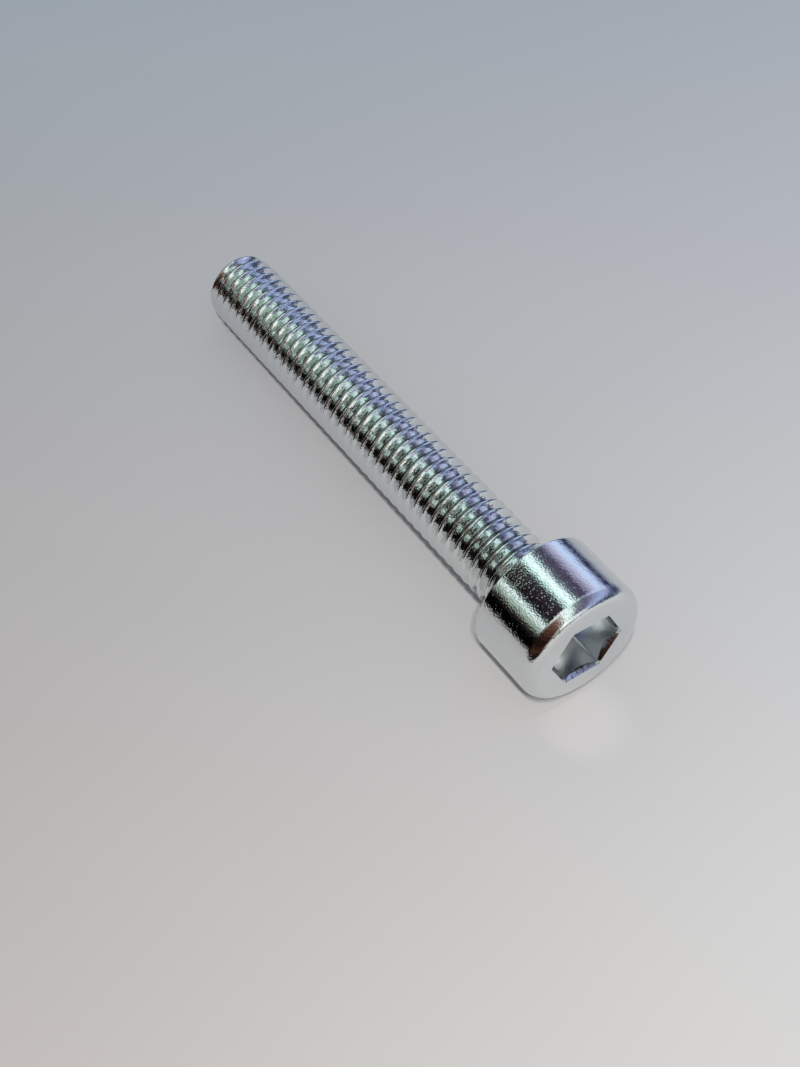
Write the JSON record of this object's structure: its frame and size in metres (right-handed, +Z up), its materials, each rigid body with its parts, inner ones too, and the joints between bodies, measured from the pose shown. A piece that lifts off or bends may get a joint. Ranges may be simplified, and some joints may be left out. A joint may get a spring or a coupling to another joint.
{
  "type": "hex socket cap screw",
  "caption": "Fully threaded machine screw with a plain cylindrical head, a hexagonal key socket and a short tapered point, lying on its side.",
  "frame": {"origin": "centre of the lying screw's box, on the surface it rests on", "axes": "+X along the screw from point to head, +Z up from the surface; the screw's own axis leans 2.98 degrees up towards the head"},
  "size_m": [0.0462, 0.01, 0.0102],
  "materials": {
    "screw": "bright plated steel, mirror-like with a fine grain"
  },
  "bodies": {
    "root": {"screw": "screw"}
  },
  "joints": []
}
